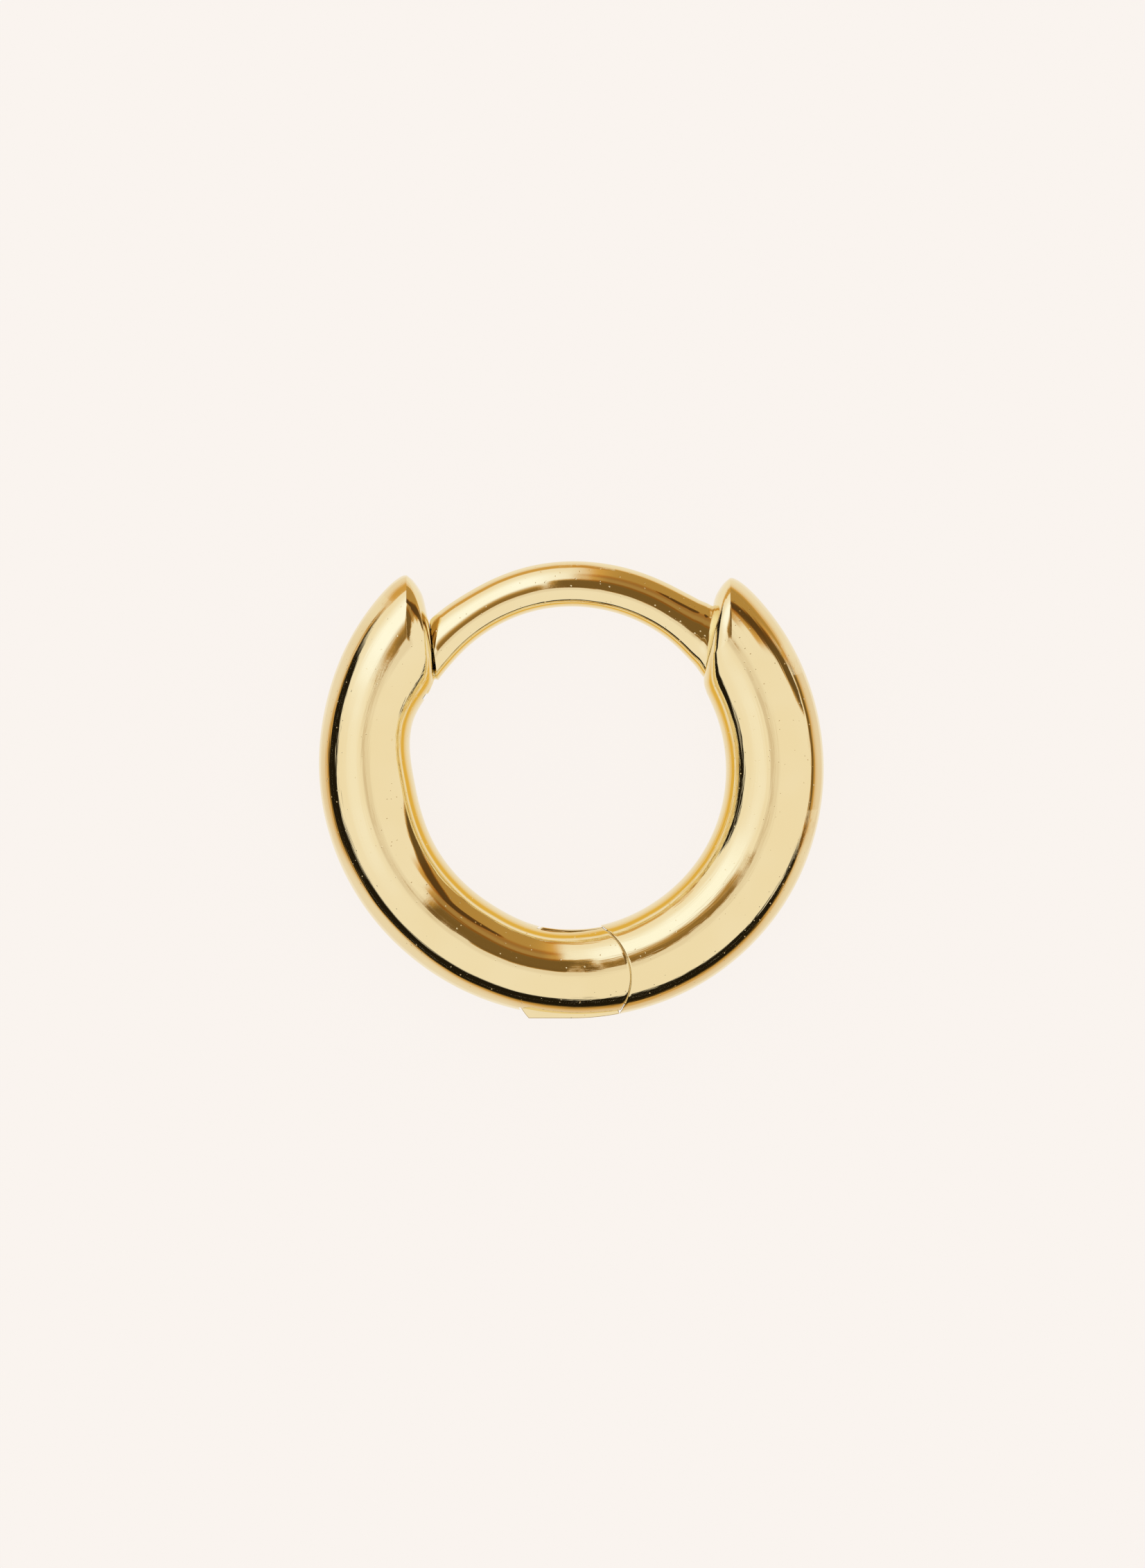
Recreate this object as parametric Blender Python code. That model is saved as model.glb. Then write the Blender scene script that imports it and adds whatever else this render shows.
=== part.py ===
"""A hinged hoop earring, lying on its side: two thick half hoops on a hidden pin, and a thin ear post.

Units are metres, +Z up. The hoop lies in the XY plane and its ear post is towards +Y.
Angles along the hoop are degrees from its top, which is +Y, down the side of the half in hand.
"""

import math
from collections import namedtuple

import bmesh
import bpy
from mathutils import Matrix, Vector

MM = 0.001

# The hoop
HOOP_OUTER_DIAMETER = 12.0 * MM
TUBE_DIAMETER = 2.2 * MM
CATCH_TIP_DEG = 40.5  # from the top to the point of each half
POST_TIP_DEG = 39.9

# The ear post and the narrow tongue on its free end
POST_THICKNESS = 1.08 * MM  # along the hoop's radius
POST_WIDTH = 1.0 * MM
POST_INSET = 0.04 * MM  # of its inner edge, from the hoop's inner edge
CATCH_WIDTH = 0.56 * MM
CATCH_CLEARANCE = 0.05 * MM
CATCH_END_ROOM_DEG = 2.5

# The hinge
PIN_DIAMETER = 0.6 * MM
PIN_OFFSET = 0.14 * MM  # outwards from the middle of the tube
PIN_SKIN = 0.12 * MM  # metal left over each end of the pin's hole
RUNNING_GAP = 0.04 * MM  # round the pin, and beside the hinge tongue
HINGE_TONGUE_WIDTH = 0.7 * MM
SEAM_MARGIN = 0.135 * MM  # that the round of the seam reaches past the tube's edge
SEAM_GAP = 0.05 * MM
HEEL_STEP = 0.02 * MM  # that the tongue's round heel reaches past the seam's round
TONGUE_INSET = 0.09 * MM  # of the tongue's inner edge from the hoop's inner edge
ROOT_REACH = 0.7 * MM  # of the tongue into the post half, past the seam
ROOT_SKIN = 0.2 * MM  # of tube left round the tongue's root

# Facets
TUBE_SIDES = 28
POST_SIDES = 20
BASE_STEP_DEG = 4.0
NOSE_STEPS = 12
POST_STEPS = 44
ROUND_SIDES = 48
ARC_STEPS = 24
SHARP_DEG = 35.0
MERGE_DISTANCE = 1e-7
TINY = 1e-9

# Where the tubes start, before the seam cuts them, and how far round the pin the cut goes
CATCH_START_DEG = 212.0
POST_START_DEG = 180.0
SEAM_CUT_DEG = (-20.0, 150.0)

# Derived sizes
outer_radius = HOOP_OUTER_DIAMETER / 2
tube_radius = TUBE_DIAMETER / 2
middle_radius = outer_radius - tube_radius
inner_radius = outer_radius - TUBE_DIAMETER
post_inner_radius = inner_radius - POST_INSET
post_outer_radius = post_inner_radius + POST_THICKNESS
pin_radius = PIN_DIAMETER / 2
hole_radius = pin_radius + RUNNING_GAP
pin_hole_length = 2 * (math.sqrt(tube_radius**2 - (PIN_OFFSET + hole_radius) ** 2) - PIN_SKIN)
pin_place = Vector((0.0, -(middle_radius + PIN_OFFSET), 0.0))
seam_radius = tube_radius + PIN_OFFSET + SEAM_MARGIN
shoulder_radius = seam_radius + SEAM_GAP
heel_radius = seam_radius + HEEL_STEP
slot_radius = heel_radius + RUNNING_GAP
hoop_centre = Vector((0.0, (outer_radius - post_outer_radius) / 2, tube_radius))

# How far each half's edges lie outside a true ring, as shares of the tube's diameter
Swell = namedtuple("Swell", "deg outer inner")
CATCH_HALF_SWELL = (
    Swell(40, 0.040, 0.000),
    Swell(60, 0.025, 0.035),
    Swell(76, 0.005, -0.045),
    Swell(98, -0.005, 0.030),
    Swell(124, -0.020, 0.020),
    Swell(150, -0.030, 0.000),
    Swell(172, -0.025, -0.045),
    Swell(195, 0.000, -0.020),
)
POST_HALF_SWELL = (
    Swell(40, -0.030, 0.030),
    Swell(60, -0.020, 0.075),
    Swell(76, -0.015, 0.075),
    Swell(100, 0.000, 0.055),
    Swell(124, 0.015, 0.030),
    Swell(148, 0.015, 0.005),
    Swell(166, 0.005, -0.020),
    Swell(180, 0.000, -0.040),
)

# The domed end. Each station's ring runs from an outer to an inner point, and the last one is the tip.
# Degrees are from the tip, and a depth is a share of the tube's diameter in from its outer edge.
Nose = namedtuple("Nose", "station outer_deg outer_depth inner_deg inner_depth")
NOSE = (
    Nose(0, 19.0, 0.000, 19.0, 1.000),
    Nose(1, 15.0, 0.000, 16.2, 0.985),
    Nose(2, 11.0, 0.000, 12.0, 0.880),
    Nose(3, 7.5, 0.000, 7.2, 0.710),
    Nose(4, 4.6, 0.000, 3.8, 0.540),
    Nose(5, 2.8, 0.003, 1.7, 0.400),
    Nose(6, 1.5, 0.010, 0.3, 0.270),
    Nose(7, 0.6, 0.022, -0.3, 0.140),
    Nose(8, 0.0, 0.040, 0.0, 0.040),
)

# The ear post, from its root in the post half to its free tongue. Here degrees are positive towards the root,
# depths are shares of the post's thickness, bulk goes from the tongue's width at 0 to the post's at 1,
# and full is the share of that width.
Post = namedtuple("Post", "station outer_deg outer_depth inner_deg inner_depth bulk full")
POST = (
    Post(0, 50.0, 0.05, 62.0, 0.95, 0.80, 1.0),
    Post(1, 44.0, -0.20, 56.0, 1.00, 1.10, 1.0),
    Post(2, 40.5, -0.17, 51.0, 1.00, 1.05, 1.0),
    Post(3, 37.0, -0.10, 46.0, 1.01, 1.00, 1.0),
    Post(4, 29.0, -0.04, 35.0, 1.00, 1.00, 1.0),
    Post(5, 10.0, -0.01, 12.0, 1.00, 1.00, 1.0),
    Post(6, -10.0, 0.01, -12.0, 1.00, 1.00, 1.0),
    Post(7, -29.0, 0.05, -35.0, 1.02, 1.00, 1.0),
    Post(8, -38.0, 0.03, -47.0, 1.03, 1.00, 1.0),
    Post(9, -42.5, 0.02, -53.0, 1.01, 0.94, 1.0),
    Post(10, -44.6, 0.06, -55.8, 1.00, 0.50, 1.0),
    Post(11, -45.4, 0.16, -56.8, 0.96, 0.08, 1.0),
    Post(12, -47.0, 0.20, -57.8, 0.93, 0.00, 1.0),
    Post(13, -54.0, 0.20, -60.0, 0.92, 0.00, 1.0),
    Post(14, -60.0, 0.23, -63.0, 0.88, 0.00, 1.0),
    Post(15, -62.0, 0.36, -63.5, 0.74, 0.00, 0.75),
)


def smooth(rows, key, column, at):
    """The column's value at a key, on a smooth curve through the rows."""
    keys = [getattr(row, key) for row in rows]
    values = [getattr(row, column) for row in rows]
    if at <= keys[0]:
        return values[0]
    if at >= keys[-1]:
        return values[-1]
    low = max(i for i, k in enumerate(keys[:-1]) if k <= at)

    def slope(i):
        a, b = max(i - 1, 0), min(i + 1, len(keys) - 1)
        return (values[b] - values[a]) / (keys[b] - keys[a])

    span = keys[low + 1] - keys[low]
    t = (at - keys[low]) / span
    start = values[low] * (1 + 2 * t) * (1 - t) ** 2 + slope(low) * span * t * (1 - t) ** 2
    end = values[low + 1] * t * t * (3 - 2 * t) - slope(low + 1) * span * t * t * (1 - t)
    return start + end


def at_angle(radius, deg):
    """A point in the hoop's plane, degrees from the top towards +X."""
    return Vector((radius * math.sin(math.radians(deg)), radius * math.cos(math.radians(deg)), 0.0))


def edge_radii(swell, deg):
    outer = outer_radius + TUBE_DIAMETER * smooth(swell, "deg", "outer", deg)
    inner = inner_radius - TUBE_DIAMETER * smooth(swell, "deg", "inner", deg)
    return outer, inner


def front_of_ring(outer_point, inner_point, middle, crease_x):
    """Where a ring's line meets the crease or, lower down, the middle of the tube."""
    run = inner_point - outer_point
    if run.length < MERGE_DISTANCE:
        return outer_point
    if outer_point.y > 0 and outer_point.x > crease_x > inner_point.x:
        on_crease = outer_point - run * ((outer_point.x - crease_x) / run.x)
        if on_crease.length >= middle:
            return on_crease
    low, high = 0.0, 1.0
    for _ in range(40):
        t = (low + high) / 2
        if (outer_point + run * t).length > middle:
            low = t
        else:
            high = t
    return outer_point + run * low


def ring_point(outer_point, inner_point, front, middle, phi):
    """A point of one ring of a half: phi is 0 at its outer edge, 90 degrees on its front and 180 at its inner edge."""
    back = -1.0 if phi < 0 else 1.0
    phi = abs(phi)
    reach = max(outer_point.length - middle, TINY)
    front_share = min(1.0, max(0.0, (front.length - middle) / reach))
    front_height = tube_radius * math.sqrt(1 - front_share**2)
    if phi >= math.pi / 2:
        turn = phi - math.pi / 2
        point = front + (inner_point - front) * math.sin(turn)
        height = front_height * math.cos(turn)
    else:
        front_angle = math.acos(front_share)
        share = (1 - math.cos(front_angle * phi / (math.pi / 2))) / max(1 - front_share, TINY)
        point = outer_point.lerp(front, min(share, 1.0))
        height = tube_radius * math.sqrt(max(0.0, 1 - ((point.length - middle) / reach) ** 2))
    return Vector((point.x, point.y, back * height))


def half_shape(swell, tip_deg, start_deg, side):
    """How many steps one half takes, and the function that shapes it: along is 0 at the seam and 1 at the tip."""
    nose_deg = tip_deg + NOSE[0].outer_deg
    base_steps = round((start_deg - nose_deg) / BASE_STEP_DEG)
    steps = base_steps + NOSE_STEPS
    tip_outer, tip_inner = edge_radii(swell, tip_deg)
    crease_x = at_angle(tip_outer - (tip_outer - tip_inner) * NOSE[-1].outer_depth, tip_deg).x

    def place(along, phi):
        step = along * steps
        if step <= base_steps:
            outer_deg = inner_deg = start_deg + (nose_deg - start_deg) * step / base_steps
            outer_depth, inner_depth = 0.0, 1.0
        else:
            station = (step - base_steps) / NOSE_STEPS * NOSE[-1].station
            outer_deg, outer_depth, inner_deg, inner_depth = (
                smooth(NOSE, "station", column, station) for column in NOSE[0]._fields[1:]
            )
            outer_deg += tip_deg
            inner_deg += tip_deg
        outer, inner = edge_radii(swell, outer_deg)
        thickness = outer - inner
        inner_edge = edge_radii(swell, inner_deg)[1] if inner_depth >= 1 else outer - thickness * inner_depth
        outer_point = at_angle(outer - thickness * outer_depth, outer_deg)
        inner_point = at_angle(inner_edge, inner_deg)
        middle = (outer + inner) / 2
        front = front_of_ring(outer_point, inner_point, middle, crease_x)
        point = ring_point(outer_point, inner_point, front, middle, phi)
        return Vector((side * point.x, point.y, point.z))

    return steps, place


def post_point(along, phi):
    """A point of the ear post: along goes from 0 at its root to 1 at the end of its tongue."""
    station = along * POST[-1].station
    outer_deg, outer_depth, inner_deg, inner_depth, bulk, full = (
        smooth(POST, "station", column, station) for column in POST[0]._fields[1:]
    )
    outer_point = at_angle(post_outer_radius - POST_THICKNESS * outer_depth, outer_deg)
    inner_point = at_angle(post_outer_radius - POST_THICKNESS * inner_depth, inner_deg)
    half_width = full * (CATCH_WIDTH + (POST_WIDTH - CATCH_WIDTH) * bulk) / 2
    point = outer_point.lerp(inner_point, (1 - math.cos(phi)) / 2)
    return Vector((point.x, point.y, half_width * math.sin(phi)))


def swept_mesh(name, place, steps, sides):
    """A circle spun into a tube, whose every vertex is then put where place(along, phi) says, with its ends closed."""
    spun_angle = 3.0
    bm = bmesh.new()
    tilt = Matrix.Translation((1, 0, 0)) @ Matrix.Rotation(math.pi / 2, 4, "X")
    bmesh.ops.create_circle(bm, segments=sides, radius=0.25, matrix=tilt)
    bmesh.ops.spin(bm, geom=bm.edges[:], cent=(0, 0, 0), axis=(0, 0, 1), angle=spun_angle, steps=steps)
    for vert in bm.verts:
        along = round(math.atan2(vert.co.y, vert.co.x) / spun_angle * steps) / steps
        phi = math.atan2(vert.co.z, math.hypot(vert.co.x, vert.co.y) - 1)
        phi = round(phi / math.tau * sides) * math.tau / sides
        vert.co = place(along, phi)
    bmesh.ops.remove_doubles(bm, verts=bm.verts, dist=MERGE_DISTANCE)
    bmesh.ops.holes_fill(bm, edges=[edge for edge in bm.edges if edge.is_boundary])
    bmesh.ops.recalc_face_normals(bm, faces=bm.faces)
    return to_mesh(name, bm)


def to_mesh(name, bm):
    mesh = bpy.data.meshes.new(name)
    bm.to_mesh(mesh)
    bm.free()
    return mesh


def disc_bmesh(radius, width, centre):
    bm = bmesh.new()
    bmesh.ops.create_cone(
        bm, cap_ends=True, segments=ROUND_SIDES, radius1=radius, radius2=radius, depth=width,
        matrix=Matrix.Translation(centre),
    )
    return bm


def arc_block(name, centre, radii, width, degrees):
    """A block whose plan is part of a ring, between two radii and two angles from the top towards +X."""
    bm = bmesh.new()
    first, last = degrees
    corners = [(radii[0], -width / 2), (radii[1], -width / 2), (radii[1], width / 2), (radii[0], width / 2)]
    verts = [bm.verts.new(at_angle(radius, first) + Vector((0, 0, z))) for radius, z in corners]
    bm.faces.new(verts)
    turn = math.radians(last - first)
    bmesh.ops.spin(bm, geom=bm.faces[:], cent=(0, 0, 0), axis=(0, 0, -1), angle=turn, steps=ARC_STEPS)
    bmesh.ops.translate(bm, verts=bm.verts, vec=centre)
    bmesh.ops.recalc_face_normals(bm, faces=bm.faces)
    return to_mesh(name, bm)


def material(name, colour, roughness):
    made = bpy.data.materials.new(name)
    made.use_nodes = True
    shader = made.node_tree.nodes["Principled BSDF"]
    shader.inputs["Base Color"].default_value = (*colour, 1.0)
    shader.inputs["Metallic"].default_value = 1.0
    shader.inputs["Roughness"].default_value = roughness
    return made


def place_object(name, data, parent, location):
    made = bpy.data.objects.new(name, data)
    bpy.context.scene.collection.objects.link(made)
    made.parent = parent
    made.location = location
    return made


def piece(mesh, parent, finish=None):
    """An object for a mesh that was modelled round the hoop's centre, under an empty that may stand elsewhere."""
    if parent.parent:
        mesh.transform(Matrix.Translation(-parent.location))
    mesh.shade_smooth()
    mesh.set_sharp_from_angle(angle=math.radians(SHARP_DEG))
    if finish:
        mesh.materials.append(finish)
    return place_object(mesh.name, mesh, parent, Vector())


def helper(mesh, parent):
    """A piece that only cuts, or is joined to, another one."""
    made = piece(mesh, parent)
    made.hide_render = True
    made.display_type = "WIRE"
    return made


def boolean(target, tool, operation):
    modifier = target.modifiers.new(f"{operation.title()} {tool.name}", "BOOLEAN")
    modifier.operation = operation
    modifier.solver = "EXACT"
    modifier.object = tool


def seam_cutter():
    """All that lies past the round seam of the catch half."""
    radii = (seam_radius, seam_radius + TUBE_DIAMETER)
    return arc_block("seam_cutter", pin_place, radii, 2 * TUBE_DIAMETER, SEAM_CUT_DEG)


def crossing_deg(radius, turn_radius):
    """How far from the bottom a circle round the hoop's centre meets one round the pin."""
    depth = -pin_place.y
    return math.degrees(math.acos((radius**2 + depth**2 - turn_radius**2) / (2 * radius * depth)))


def arc_points(centre, radius, degrees, steps):
    first, last = degrees
    return [centre + at_angle(radius, first + (last - first) * i / steps) for i in range(steps + 1)]


def hinge_tongue_mesh():
    """The plate that turns on the pin: a round heel with a flat foot, and a root that reaches into the post half."""
    middle = Vector()
    root_deg = 180 - math.degrees(math.asin((shoulder_radius + ROOT_REACH) / middle_radius))
    inner_edge = inner_radius + TONGUE_INSET
    inner_shoulder = 180 - crossing_deg(inner_edge, shoulder_radius)
    outer_shoulder = 180 - crossing_deg(outer_radius, shoulder_radius)
    heel_deg = 180 + crossing_deg(inner_edge, heel_radius)
    heel_top = at_angle(inner_edge, heel_deg) - pin_place
    foot_drop = outer_radius + pin_place.y
    heel_low = Vector((-math.sqrt(heel_radius**2 - foot_drop**2), -foot_drop, 0))
    turned = [math.degrees(math.atan2(-corner.x, corner.y)) for corner in (heel_top, heel_low)]
    outline = [
        *arc_points(middle, outer_radius, (180, outer_shoulder), 8),
        *arc_points(middle, outer_radius - ROOT_SKIN, (outer_shoulder, root_deg), 4),
        *arc_points(middle, inner_radius + ROOT_SKIN, (root_deg, inner_shoulder), 4),
        *arc_points(middle, inner_edge, (inner_shoulder, heel_deg), 12),
        *arc_points(pin_place, heel_radius, (-turned[0], -turned[1]), 16)[1:],
    ]
    bm = bmesh.new()
    face = bm.faces.new([bm.verts.new(point) for point in outline])
    raised = bmesh.ops.extrude_face_region(bm, geom=[face])["geom"]
    top = [part for part in raised if isinstance(part, bmesh.types.BMVert)]
    bmesh.ops.translate(bm, verts=top, vec=(0, 0, HINGE_TONGUE_WIDTH))
    bmesh.ops.translate(bm, verts=bm.verts, vec=(0, 0, -HINGE_TONGUE_WIDTH / 2))
    bmesh.ops.recalc_face_normals(bm, faces=bm.faces)
    return to_mesh("hinge_tongue", bm)


def build():
    gold = material("plated_gold", (0.83, 0.62, 0.27), 0.1)
    pin_metal = material("pin_metal", (0.72, 0.6, 0.36), 0.3)
    hoop = place_object("hoop_centre", None, None, hoop_centre)
    hinge = place_object("hinge_axis", None, hoop, pin_place)

    catch_end_deg = -min(POST[-1].outer_deg, POST[-1].inner_deg) + CATCH_END_ROOM_DEG
    catch_outer_radius = post_outer_radius - POST_THICKNESS * POST[-3].outer_depth + CATCH_CLEARANCE
    slot_width = HINGE_TONGUE_WIDTH + 2 * RUNNING_GAP

    # The half with the catch, which the hinge's two cheeks belong to
    catch_steps, catch_shape = half_shape(CATCH_HALF_SWELL, CATCH_TIP_DEG, CATCH_START_DEG, -1)
    catch_half = piece(swept_mesh("catch_half", catch_shape, catch_steps, TUBE_SIDES), hoop, gold)
    catch_width = CATCH_WIDTH + 2 * CATCH_CLEARANCE
    catch_radii = (inner_radius - TUBE_DIAMETER / 2, catch_outer_radius)
    catch_cutters = (
        seam_cutter(),
        to_mesh("hinge_slot", disc_bmesh(slot_radius, slot_width, pin_place)),
        to_mesh("pin_hole", disc_bmesh(hole_radius, pin_hole_length, pin_place)),
        arc_block("catch_notch", Vector(), catch_radii, catch_width, (-catch_end_deg, -CATCH_TIP_DEG / 2)),
    )
    for mesh in catch_cutters:
        boolean(catch_half, helper(mesh, hoop), "DIFFERENCE")

    # The half with the ear post and the hinge tongue, all soldered into one
    half_steps, half_place = half_shape(POST_HALF_SWELL, POST_TIP_DEG, POST_START_DEG, 1)
    post_half = piece(swept_mesh("post_half", half_place, half_steps, TUBE_SIDES), hinge, gold)
    post_half_tools = (
        (to_mesh("shoulder_cutter", disc_bmesh(shoulder_radius, 2 * TUBE_DIAMETER, pin_place)), "DIFFERENCE"),
        (hinge_tongue_mesh(), "UNION"),
        (swept_mesh("ear_post", post_point, POST_STEPS, POST_SIDES), "UNION"),
        (to_mesh("tongue_hole", disc_bmesh(hole_radius, TUBE_DIAMETER, pin_place)), "DIFFERENCE"),
    )
    for mesh, operation in post_half_tools:
        boolean(post_half, helper(mesh, hinge), operation)

    # The pin, which is closed in by the cheeks
    pin_mesh = to_mesh("hinge_pin", disc_bmesh(pin_radius, pin_hole_length - 2 * RUNNING_GAP, pin_place))
    piece(pin_mesh, hinge, pin_metal)


for old in list(bpy.data.objects):
    bpy.data.objects.remove(old)
build()
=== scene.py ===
# %% [markdown]
# # A hinged hoop earring in polished gold plate
#
# The earring lies on its side on a pale table and the camera looks straight down on it. Every piece is made
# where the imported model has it, in metres: the hoop lies in the XY plane, its ear post is towards +Y and +Z
# is up.

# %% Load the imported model
import math

import bmesh
import bpy
from mathutils import Matrix, Vector


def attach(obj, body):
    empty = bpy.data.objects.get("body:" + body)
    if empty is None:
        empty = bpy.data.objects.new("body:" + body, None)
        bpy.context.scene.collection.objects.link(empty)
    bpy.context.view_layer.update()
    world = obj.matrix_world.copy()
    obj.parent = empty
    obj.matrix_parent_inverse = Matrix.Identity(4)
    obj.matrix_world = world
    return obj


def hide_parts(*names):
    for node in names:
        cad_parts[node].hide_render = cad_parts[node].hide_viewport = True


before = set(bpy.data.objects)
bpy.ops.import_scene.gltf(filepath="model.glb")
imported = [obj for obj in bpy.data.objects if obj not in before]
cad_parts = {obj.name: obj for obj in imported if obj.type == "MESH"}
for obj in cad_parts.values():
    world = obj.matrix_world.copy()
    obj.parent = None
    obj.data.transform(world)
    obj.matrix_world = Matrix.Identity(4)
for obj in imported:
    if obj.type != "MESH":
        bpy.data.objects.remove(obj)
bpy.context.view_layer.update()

print("nodes:", ", ".join(sorted(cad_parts)))

# %% [markdown]
# ## The camera
#
# A product photograph of a small piece is taken from far away with a long lens, so that the front edge looks
# no larger than the back. The picture shows 60.8 pixels for each millimetre of the hoop, and that fixes the
# lens.

# %% Camera
MM = 0.001
PICTURE_SIZE = (1652, 2262)
PIXELS_PER_MM = 60.8
CAMERA_HEIGHT = 300 * MM
SENSOR_WIDTH = 36.0
CLIP_RANGE = (10 * MM, 5.0)
VIEW_CENTRE = Vector((0.023, 0.133, 1.1)) * MM

camera_data = bpy.data.cameras.new("camera")
camera_data.sensor_width = SENSOR_WIDTH
camera_data.lens = SENSOR_WIDTH * CAMERA_HEIGHT / (PICTURE_SIZE[1] / PIXELS_PER_MM * MM)
camera_data.clip_start, camera_data.clip_end = CLIP_RANGE
camera = bpy.data.objects.new("camera", camera_data)
camera.location = VIEW_CENTRE + Vector((0, 0, CAMERA_HEIGHT))
bpy.context.scene.collection.objects.link(camera)
bpy.context.scene.camera = camera
print(f"lens {camera_data.lens:.1f} mm")

# %% [markdown]
# ## The sizes of the hoop
#
# The hoop is a thick ring of round tube, cast in two halves. Each half swells and thins a little along its
# length, as hand polishing leaves it, so its outer and inner edges are tables of small departures from a true
# ring, read with a smooth curve. Angles run from the top of the hoop down the side of the half in hand.

# %% Sizes shared by all pieces
OUTER_RADIUS = 6.0 * MM
TUBE_DIAMETER = 2.2 * MM
TUBE_RADIUS = TUBE_DIAMETER / 2
INNER_RADIUS = OUTER_RADIUS - TUBE_DIAMETER
HOOP_CENTRE = Vector((0, 0.58, 1.1)) * MM
PIN_DEPTH = 5.04 * MM
SEAM_RADIUS = 1.39 * MM
SHOULDER_RADIUS = 1.415 * MM
pin_place = Vector((0, -PIN_DEPTH, 0))

CATCH_HALF_SWELL = (
    (40, 0.040, 0.000), (60, 0.025, 0.014), (76, 0.005, -0.045), (98, -0.005, 0.030),
    (124, -0.020, 0.020), (150, -0.030, 0.000), (172, -0.025, -0.045), (195, 0.000, -0.020),
)
POST_HALF_SWELL = (
    (40, -0.030, 0.030), (60, -0.020, 0.075), (76, -0.015, 0.075), (100, 0.000, 0.055),
    (124, 0.015, 0.030), (148, 0.015, 0.005), (166, 0.005, -0.020), (180, 0.000, -0.040),
)


def read_rows(rows, at):
    """The values of a table at a key, on a smooth curve through its rows, whose first column is the key."""
    if at <= rows[0][0]:
        return rows[0][1:]
    if at >= rows[-1][0]:
        return rows[-1][1:]
    low = max(i for i, row in enumerate(rows[:-1]) if row[0] <= at)
    span = rows[low + 1][0] - rows[low][0]
    t = (at - rows[low][0]) / span

    def slope(i, column):
        a, b = rows[max(i - 1, 0)], rows[min(i + 1, len(rows) - 1)]
        return (b[column] - a[column]) / (b[0] - a[0]) * span

    return [
        rows[low][c] * (1 + 2 * t) * (1 - t) ** 2 + slope(low, c) * t * (1 - t) ** 2
        + rows[low + 1][c] * t * t * (3 - 2 * t) - slope(low + 1, c) * t * t * (1 - t)
        for c in range(1, len(rows[0]))
    ]


def at_angle(radius, deg):
    """A point in the hoop's plane, degrees from the top towards +X."""
    return Vector((radius * math.sin(math.radians(deg)), radius * math.cos(math.radians(deg)), 0.0))


def edge_radii(swell, deg):
    outer, inner = read_rows(swell, deg)
    return OUTER_RADIUS + TUBE_DIAMETER * outer, INNER_RADIUS - TUBE_DIAMETER * inner


print("the tube at the side of the hoop:", [round(r / MM, 3) for r in edge_radii(CATCH_HALF_SWELL, 90)])

# %% [markdown]
# ## A tube that follows its own plan
#
# A goldsmith bends a rod and files its ends. Here a circle is spun into a short tube with the right number of
# rows and sides, and then every vertex is moved to its place on the piece. The spin makes the faces, so only
# the shape is left to describe, row by row.

# %% Helpers for meshes
MERGE_DISTANCE = 1e-7
SHARP_DEG = 38.0


def shaped_tube(rows, sides, place):
    """A circle spun into a tube of that many rows, whose vertices go where place(row, phi) says."""
    spun_angle = 3.0
    bm = bmesh.new()
    tilt = Matrix.Translation((1, 0, 0)) @ Matrix.Rotation(math.pi / 2, 4, "X")
    bmesh.ops.create_circle(bm, segments=sides, radius=0.25, matrix=tilt)
    bmesh.ops.spin(bm, geom=bm.edges[:], cent=(0, 0, 0), axis=(0, 0, 1), angle=spun_angle, steps=rows - 1)
    for vert in bm.verts:
        row = round(math.atan2(vert.co.y, vert.co.x) / spun_angle * (rows - 1))
        phi = math.atan2(vert.co.z, math.hypot(vert.co.x, vert.co.y) - 1)
        vert.co = place(row, round(phi / math.tau * sides) * math.tau / sides)
    bmesh.ops.remove_doubles(bm, verts=bm.verts, dist=MERGE_DISTANCE)
    bmesh.ops.holes_fill(bm, edges=[edge for edge in bm.edges if edge.is_boundary])
    bmesh.ops.recalc_face_normals(bm, faces=bm.faces)
    return bm


def finished(name, bm):
    """The mesh as an object at the origin, moved from round the hoop's centre to the hoop's place."""
    bmesh.ops.translate(bm, verts=bm.verts, vec=HOOP_CENTRE)
    mesh = bpy.data.meshes.new(name)
    bm.to_mesh(mesh)
    bm.free()
    mesh.shade_smooth()
    mesh.set_sharp_from_angle(angle=math.radians(SHARP_DEG))
    made = bpy.data.objects.new(name, mesh)
    bpy.context.scene.collection.objects.link(made)
    return made


def report(piece):
    size = [round(s / MM, 2) for s in piece.dimensions]
    print(f"{piece.name}: {len(piece.data.polygons)} faces, {size} mm")


# %% [markdown]
# ## The two half hoops
#
# Each half is one casting. At the hinge it ends on a round face that turns about the pin: the half with the
# catch bulges and the half with the post is hollowed to match, with a hairline between them. At the top it
# ends in a pointed dome, which a file leaves with a soft crease down its front. The first thing to find is
# where each line along the tube meets the round end face.

# %% Where the tube ends
ROUND_POWER = 2.0
EDGE_ROUND = 0.02 * MM
TINY = 1e-9


def crossing_deg(radius, turn_radius):
    """How far from the bottom a circle round the hoop's centre meets one round the pin."""
    return math.degrees(math.acos((radius**2 + PIN_DEPTH**2 - turn_radius**2) / (2 * radius * PIN_DEPTH)))


def section(swell, deg, phi, share=1.0):
    """Radius and height of a point of the plain tube, phi from its outer edge, shrunk to a share of the section."""
    outer, inner = edge_radii(swell, deg)
    middle = (outer + inner) / 2
    return middle + share * (outer - middle) * math.cos(phi), share * TUBE_RADIUS * math.sin(phi)


def end_deg(swell, phi, turn_radius, past, share=1.0):
    """Where a line along the tube meets the round end face: past is 1 beyond the bottom and -1 before it."""
    deg = 180.0
    for _ in range(4):
        deg = 180 + past * crossing_deg(section(swell, deg, phi, share)[0], turn_radius)
    return deg


print("the seam meets the outer edge", round(crossing_deg(OUTER_RADIUS, SEAM_RADIUS), 1), "degrees from the bottom")

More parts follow.
